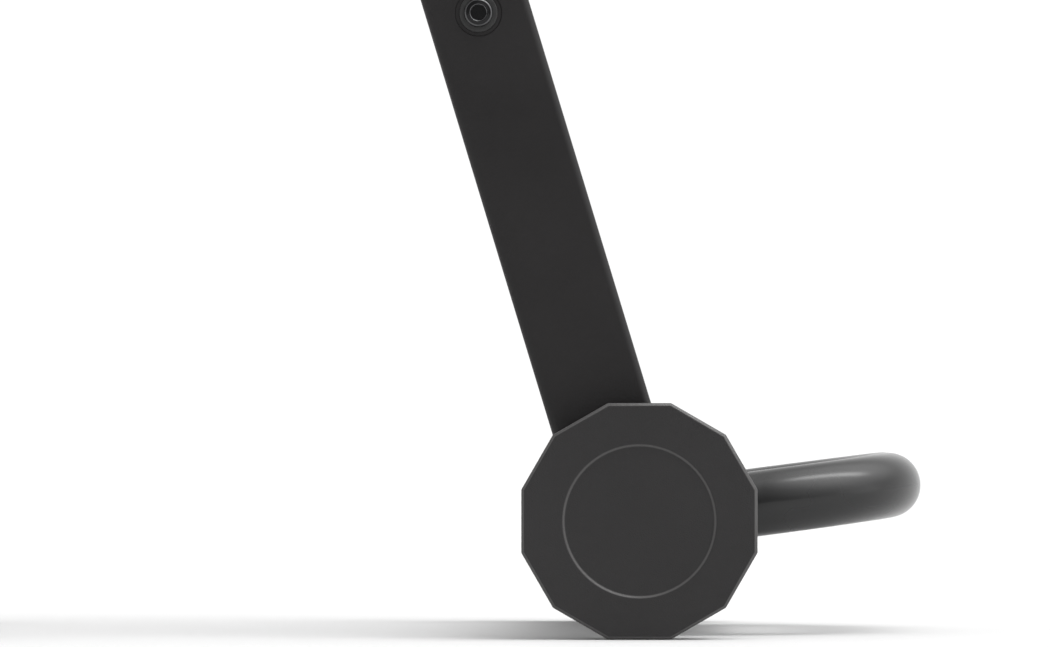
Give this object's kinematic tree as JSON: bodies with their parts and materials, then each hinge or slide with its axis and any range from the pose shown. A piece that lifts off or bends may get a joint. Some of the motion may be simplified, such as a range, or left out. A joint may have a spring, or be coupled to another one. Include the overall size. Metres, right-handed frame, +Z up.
{
  "type": "bicycle wall rack",
  "caption": "Floor-standing bicycle rack for a wall: leaning side legs on a base tube with twelve-sided end caps, a fold-up wheel loop and padded folding arms.",
  "frame": {"origin": "on the floor, under the middle of the rack's outline", "axes": "+Z up; +X out of the wall into the room, so the wall side is -X and the wheel loop points along +X; +Y to the right side as seen by a person facing the wall"},
  "size_m": [0.5154, 0.4, 1.25],
  "materials": {
    "frame_paint": "satin black powder coat",
    "loop_paint": "smooth semi-gloss black powder coat",
    "cap_plastic": "finely textured matte dark grey moulded plastic",
    "foot_rubber": "matte black rubber",
    "sleeve_rubber": "soft ribbed black rubber",
    "black_fastener": "glossy black oxide steel",
    "plated_steel": "bright zinc plate",
    "bush_nylon": "grey nylon"
  },
  "bodies": {
    "frame": {"base_tube": "frame_paint", "leg_left": "frame_paint", "leg_right": "frame_paint", "post_left": "frame_paint", "post_right": "frame_paint", "lower_rung": "frame_paint", "upper_rung": "frame_paint", "side_brace_left": "frame_paint", "side_brace_right": "frame_paint", "gusset_left": "frame_paint", "gusset_right": "frame_paint", "lower_wall_rail": "frame_paint", "upper_wall_rail": "frame_paint", "top_beam": "frame_paint", "arm_bracket_left": "frame_paint", "arm_bracket_right": "frame_paint", "loop_rest": "frame_paint", "fold_stop": "frame_paint", "foot_cap_left": "cap_plastic", "foot_cap_right": "cap_plastic", "post_plugs": "cap_plastic", "post_feet": "foot_rubber", "retaining_rings": "black_fastener", "rung_bolts": "black_fastener", "rung_washers": "black_fastener", "brace_bolts": "black_fastener", "brace_washers": "black_fastener", "gusset_bolts": "black_fastener", "gusset_washers": "black_fastener", "beam_bolts": "black_fastener", "beam_washers": "black_fastener", "bracket_screws": "black_fastener", "ring_screws": "black_fastener", "brace_nuts": "plated_steel", "gusset_nuts": "plated_steel", "lower_rung_blocks": "plated_steel", "upper_rung_blocks": "plated_steel", "beam_blocks": "plated_steel", "arm_pin_left": "plated_steel", "arm_pin_right": "plated_steel", "pin_clips": "plated_steel"},
    "loop": {"wheel_loop": "loop_paint", "loop_collar_left": "loop_paint", "loop_collar_right": "loop_paint", "loop_bush_left": "bush_nylon", "loop_bush_right": "bush_nylon"},
    "arm_left": {"arm_knuckle_left": "loop_paint", "arm_tube_left": "loop_paint", "arm_sleeve_left": "sleeve_rubber", "arm_plug_left": "cap_plastic"},
    "arm_right": {"arm_knuckle_right": "loop_paint", "arm_tube_right": "loop_paint", "arm_sleeve_right": "sleeve_rubber", "arm_plug_right": "cap_plastic"}
  },
  "joints": [
    {"name": "loop_fold", "type": "hinge", "parent": "frame", "child": "loop", "pos_m": [0.11729, 0, 0.0565], "axis": [0, -1, 0], "range_deg": [0, 96]},
    {"name": "arm_fold_left", "type": "hinge", "parent": "frame", "child": "arm_left", "pos_m": [-0.20511, -0.09, 1.2], "axis": [0, -1, 0], "range_deg": [0, 90]},
    {"name": "arm_fold_right", "type": "hinge", "parent": "frame", "child": "arm_right", "pos_m": [-0.20511, 0.09, 1.2], "axis": [0, -1, 0], "range_deg": [0, 90]}
  ]
}
